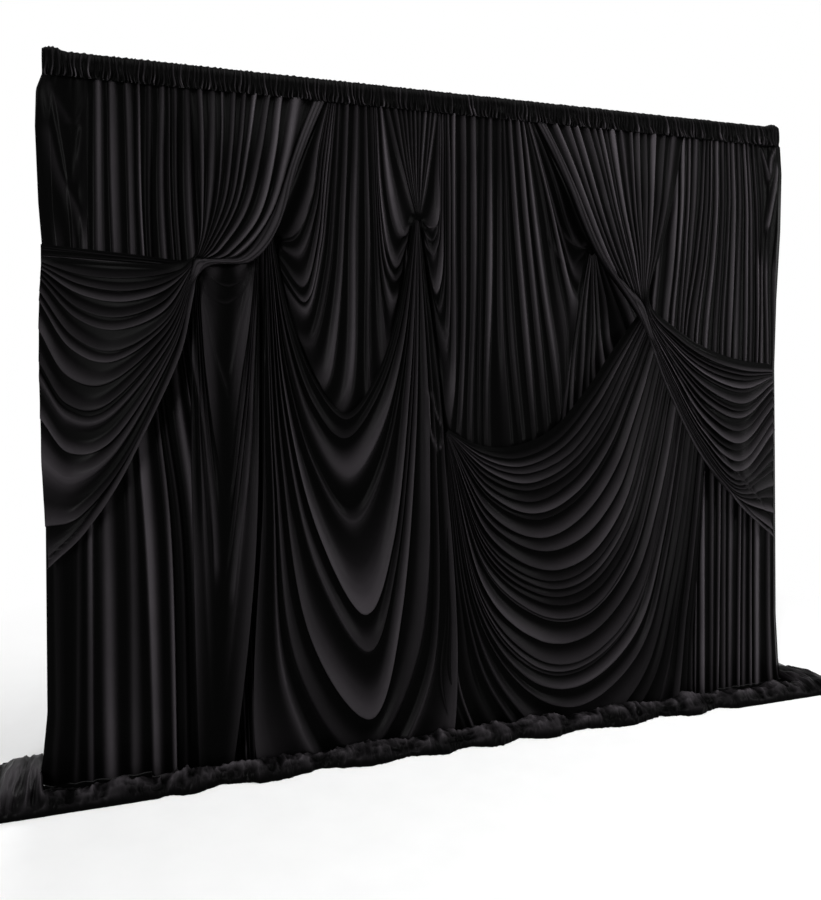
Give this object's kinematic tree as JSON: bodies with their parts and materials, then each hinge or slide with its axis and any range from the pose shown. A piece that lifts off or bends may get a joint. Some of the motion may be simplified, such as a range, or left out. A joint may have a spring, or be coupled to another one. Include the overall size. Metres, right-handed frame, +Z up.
{
  "type": "pipe and drape backdrop",
  "caption": "Free-standing pipe and drape backdrop: telescopic uprights on flat base plates and a telescopic crossbar, dressed with black swagged stretch drapes, a sash and a puddled hem.",
  "frame": {"origin": "on the floor, midway between the two uprights' axes, under the crossbar's axis", "axes": "+X along the crossbar to the right as seen from the dressed front, +Y from the front to the back, +Z up"},
  "size_m": [3.316, 0.406, 2.4419],
  "materials": {
    "cloth": "satin stretch cloth",
    "plate_steel": "black powder coat",
    "aluminium": "satin anodised",
    "steel": "zinc plated",
    "plastic": "matt black",
    "rubber": "matt"
  },
  "bodies": {
    "left_foot": {"left_base_plate": "plate_steel", "left_rubber_foot_1": "rubber", "left_rubber_foot_2": "rubber", "left_rubber_foot_3": "rubber", "left_rubber_foot_4": "rubber", "left_base_screw": "steel", "left_base_spigot": "steel", "left_outer_upright": "aluminium", "left_guide_collar": "plastic"},
    "left_knob": {"left_knob_stud": "steel", "left_lock_knob": "plastic"},
    "head": {"left_mast": "aluminium", "left_mast_bushing": "plastic", "left_mast_cap": "plastic", "left_stop_ring": "aluminium", "left_hook_plug": "aluminium", "left_hook_blade": "steel", "left_hook_rivet": "steel", "crossbar_outer_tube": "aluminium", "header_casing": "cloth", "back_curtain_left": "cloth", "back_curtain_right": "cloth", "upper_curtain": "cloth", "gathered_fan": "cloth", "left_column_curtain": "cloth", "left_floor_swag": "cloth", "right_floor_swag": "cloth", "left_side_drape": "cloth", "right_side_drape": "cloth", "left_sash": "cloth", "puddled_hem": "cloth"},
    "twist_lock": {"crossbar_twist_lock": "plastic"},
    "right_mast": {"right_mast": "aluminium", "right_mast_bushing": "plastic", "right_mast_cap": "plastic", "right_stop_ring": "aluminium", "right_hook_plug": "aluminium", "right_hook_blade": "steel", "right_hook_rivet": "steel", "crossbar_inner_tube": "aluminium", "crossbar_inner_end": "plastic"},
    "right_foot": {"right_base_plate": "plate_steel", "right_rubber_foot_1": "rubber", "right_rubber_foot_2": "rubber", "right_rubber_foot_3": "rubber", "right_rubber_foot_4": "rubber", "right_base_screw": "steel", "right_base_spigot": "steel", "right_outer_upright": "aluminium", "right_guide_collar": "plastic"},
    "right_knob": {"right_knob_stud": "steel", "right_lock_knob": "plastic"}
  },
  "joints": [
    {"name": "height", "type": "slide", "parent": "left_foot", "child": "head", "axis": [0, 0, 1], "range_m": [0, 1.2]},
    {"name": "width", "type": "slide", "parent": "head", "child": "right_mast", "axis": [1, 0, 0], "range_m": [-0.75, 0.7], "deforming": ["header_casing", "back_curtain_left", "back_curtain_right", "upper_curtain", "gathered_fan", "left_column_curtain", "left_floor_swag", "right_floor_swag", "left_side_drape", "right_side_drape", "left_sash", "puddled_hem"]},
    {"name": "right_height", "type": "slide", "parent": "right_mast", "child": "right_foot", "axis": [0, 0, 1], "range_m": [-1.2, 0]},
    {"name": "left_lock", "type": "hinge", "parent": "left_foot", "child": "left_knob", "pos_m": [-1.455, 0.062, 2.234], "axis": [0, 1, 0], "range_deg": [0, 720]},
    {"name": "right_lock", "type": "hinge", "parent": "right_foot", "child": "right_knob", "pos_m": [1.455, 0.062, 2.234], "axis": [0, 1, 0], "range_deg": [0, 720]},
    {"name": "crossbar_lock", "type": "hinge", "parent": "head", "child": "twist_lock", "pos_m": [0.302, 0, 2.4], "axis": [1, 0, 0], "range_deg": [0, 90]}
  ],
  "couplings": [
    {"joint": "right_height", "follows": "height", "ratio": -1}
  ]
}
